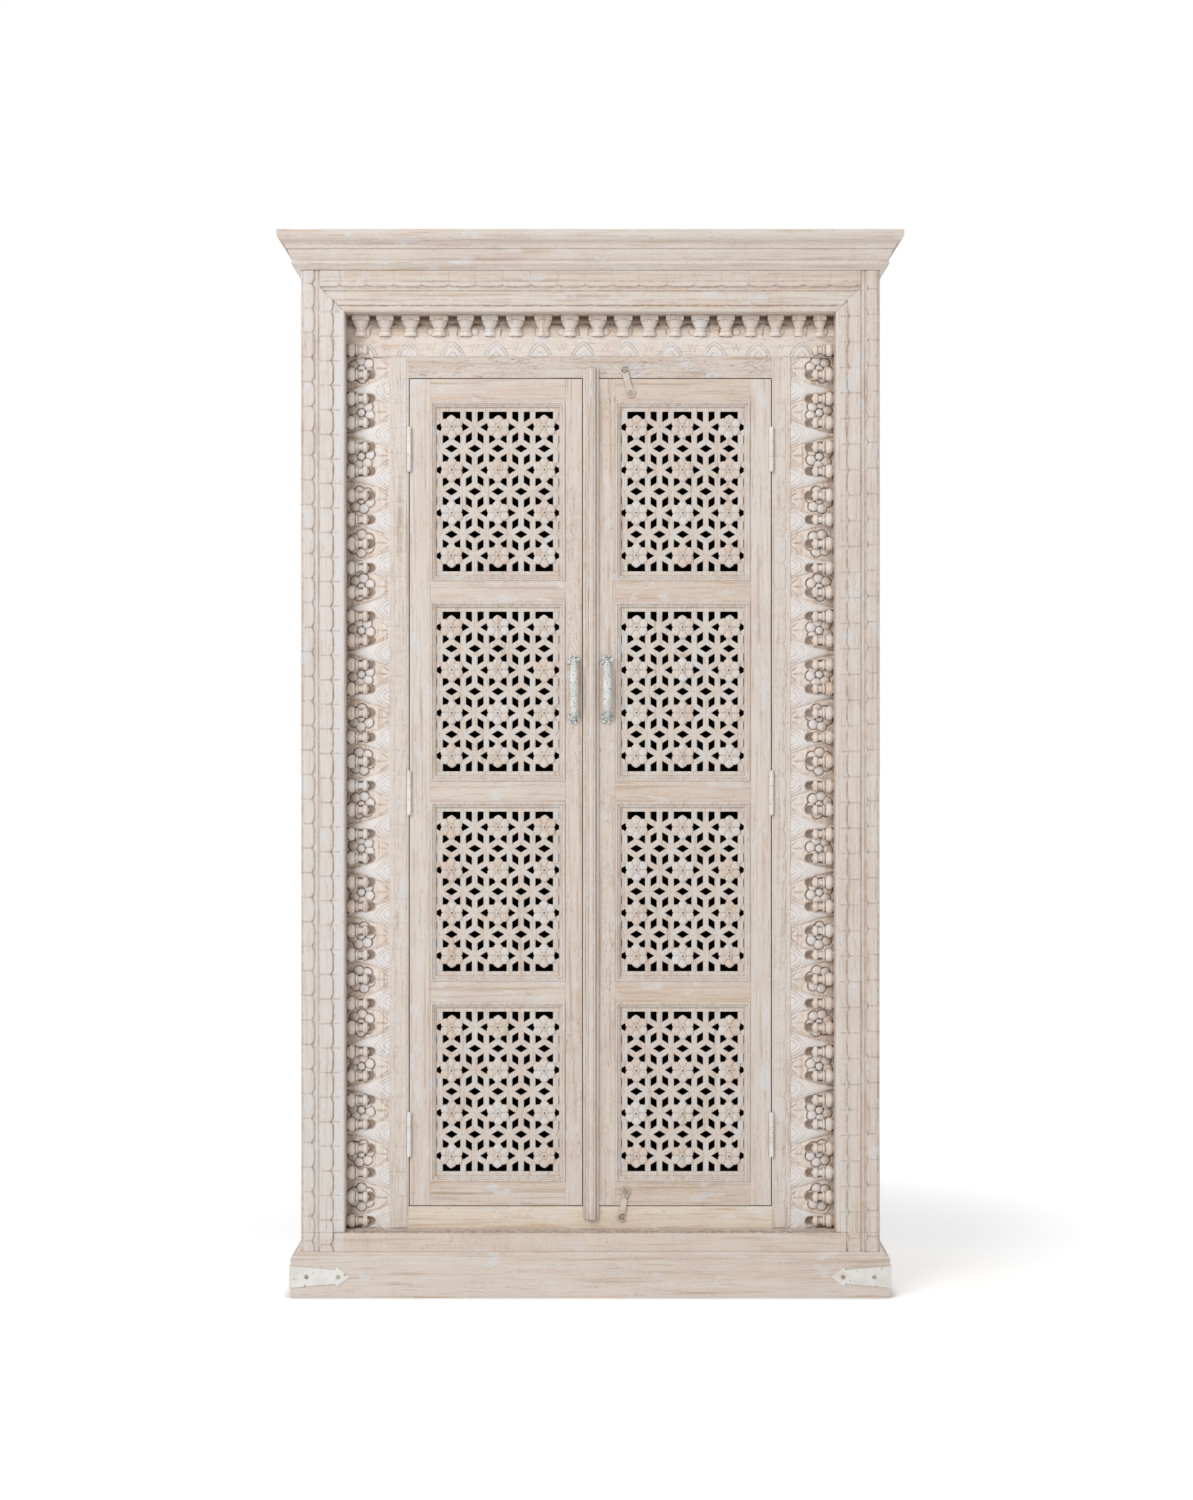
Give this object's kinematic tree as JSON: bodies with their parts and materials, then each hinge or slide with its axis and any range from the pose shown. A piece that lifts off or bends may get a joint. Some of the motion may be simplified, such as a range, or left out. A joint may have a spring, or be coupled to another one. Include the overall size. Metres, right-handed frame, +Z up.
{
  "type": "carved armoire with two lattice doors",
  "caption": "Tall whitewashed wooden cabinet with a carved frame, turned spindles and two hinged lattice doors with pulls and hook latches.",
  "frame": {"origin": "on the floor, in the middle of the width and depth", "axes": "+Z up, the doors face -Y, +X is the right-hand side seen from the front"},
  "size_m": [1.09, 0.45, 1.86],
  "materials": {
    "whitewashed_wood": "whitewashed mango wood, brown glaze in the cuts",
    "inside_wood": "dark stained boards inside",
    "painted_iron": "white paint on iron",
    "worn_painted_iron": "chipped white paint on grey iron",
    "bare_iron": "dark iron screws"
  },
  "bodies": {
    "carcass": {"plinth_front": "whitewashed_wood", "plinth_left": "whitewashed_wood", "plinth_right": "whitewashed_wood", "plinth_back": "whitewashed_wood", "base_moulding_front": "whitewashed_wood", "base_moulding_left": "whitewashed_wood", "base_moulding_right": "whitewashed_wood", "side_panel_left": "whitewashed_wood", "side_panel_right": "whitewashed_wood", "back_panel": "inside_wood", "top_board": "whitewashed_wood", "bottom_board": "inside_wood", "lower_shelf": "inside_wood", "middle_shelf": "inside_wood", "upper_shelf": "inside_wood", "shelf_cleats": "inside_wood", "crown_front": "whitewashed_wood", "crown_left": "whitewashed_wood", "crown_right": "whitewashed_wood", "outer_stile_left": "whitewashed_wood", "outer_stile_right": "whitewashed_wood", "outer_head": "whitewashed_wood", "outer_sill": "whitewashed_wood", "door_jamb_left": "whitewashed_wood", "door_jamb_right": "whitewashed_wood", "door_lintel": "whitewashed_wood", "door_sill": "whitewashed_wood", "carved_band_left": "whitewashed_wood", "carved_band_right": "whitewashed_wood", "carved_band_top": "whitewashed_wood", "spindles_left": "whitewashed_wood", "spindles_right": "whitewashed_wood", "spindles_top": "whitewashed_wood", "left_hinge_frame_leaves": "painted_iron", "right_hinge_frame_leaves": "painted_iron", "hinge_pins": "painted_iron", "latch_pegs": "bare_iron", "corner_strap_left": "painted_iron", "corner_strap_right": "painted_iron", "corner_strap_screws": "bare_iron"},
    "left_door": {"left_hinge_stile": "whitewashed_wood", "left_lock_stile": "whitewashed_wood", "left_rails": "whitewashed_wood", "left_lattices": "whitewashed_wood", "left_mouldings": "whitewashed_wood", "left_rosettes": "whitewashed_wood", "left_hinge_door_leaves": "painted_iron", "left_handle": "worn_painted_iron"},
    "right_door": {"right_hinge_stile": "whitewashed_wood", "right_lock_stile": "whitewashed_wood", "right_rails": "whitewashed_wood", "right_lattices": "whitewashed_wood", "right_mouldings": "whitewashed_wood", "right_rosettes": "whitewashed_wood", "right_hinge_door_leaves": "painted_iron", "right_handle": "worn_painted_iron", "astragal": "whitewashed_wood", "hook_screws": "bare_iron"},
    "top_hook": {"top_hook": "painted_iron"},
    "bottom_hook": {"bottom_hook": "painted_iron"}
  },
  "joints": [
    {"name": "left_door_swing", "type": "hinge", "parent": "carcass", "child": "left_door", "pos_m": [-0.3192, -0.156, 0.88], "axis": [0, 0, -1], "range_deg": [0, 110]},
    {"name": "right_door_swing", "type": "hinge", "parent": "carcass", "child": "right_door", "pos_m": [0.3192, -0.156, 0.88], "axis": [0, 0, 1], "range_deg": [0, 110]},
    {"name": "top_hook_turn", "type": "hinge", "parent": "right_door", "child": "top_hook", "pos_m": [0.071, -0.1535, 1.5844], "axis": [0, -1, 0], "range_deg": [0, 70]},
    {"name": "bottom_hook_turn", "type": "hinge", "parent": "right_door", "child": "bottom_hook", "pos_m": [0.062, -0.1535, 0.1776], "axis": [0, 1, 0], "range_deg": [0, 40]}
  ]
}
